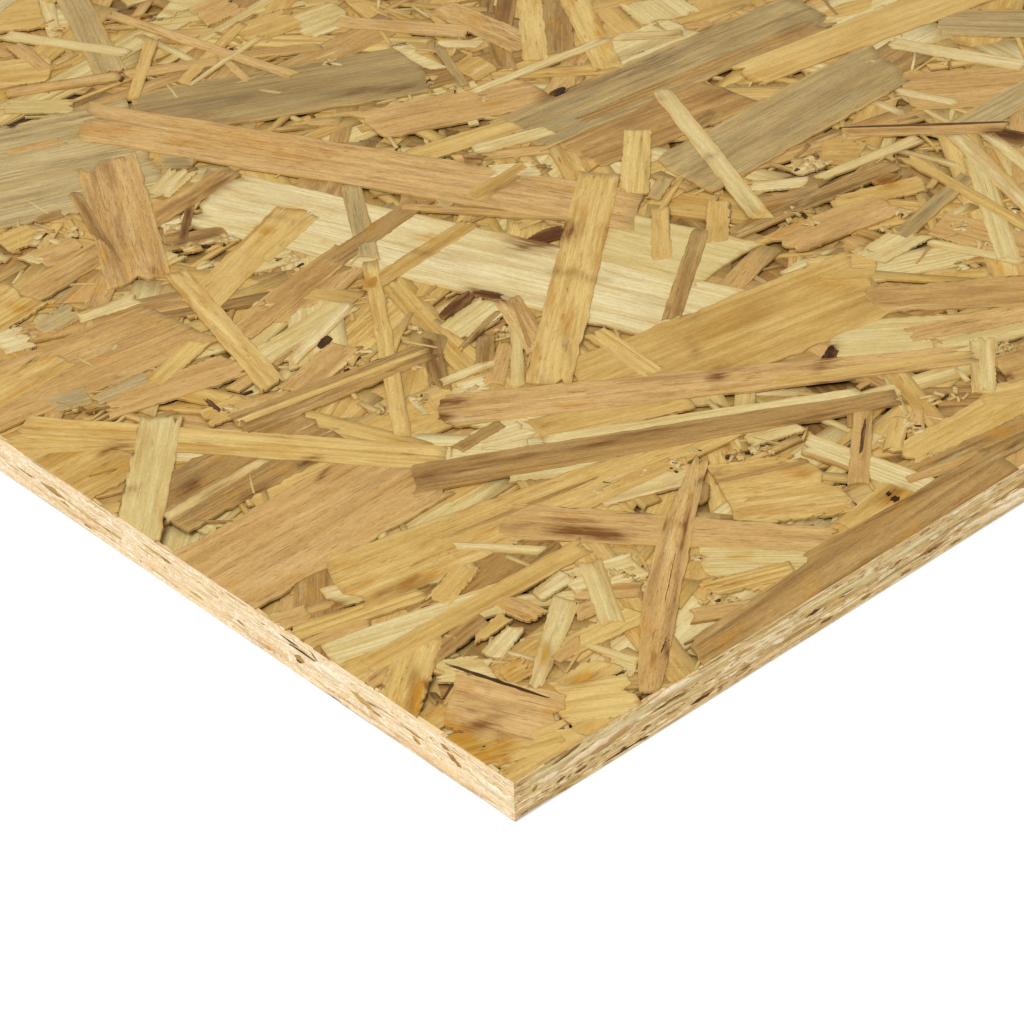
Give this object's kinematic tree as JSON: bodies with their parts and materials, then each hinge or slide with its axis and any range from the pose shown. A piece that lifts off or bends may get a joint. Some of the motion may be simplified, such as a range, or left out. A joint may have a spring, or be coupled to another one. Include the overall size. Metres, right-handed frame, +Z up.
{
  "type": "osb panel",
  "caption": "Flat rectangular sheet of oriented strand board with square sawn edges, for sheathing floors, walls and roofs.",
  "frame": {"origin": "centre of the face that the sheet lies on", "axes": "+X along the sheet's length, which the face strands follow, +Y along its width, +Z up through its thickness"},
  "size_m": [2.44, 1.22, 0.009],
  "materials": {
    "strand_board": "pressed softwood and hardwood strands, resin bonded, lightly sanded, matt"
  },
  "bodies": {
    "root": {"osb_panel": "strand_board"}
  },
  "joints": []
}
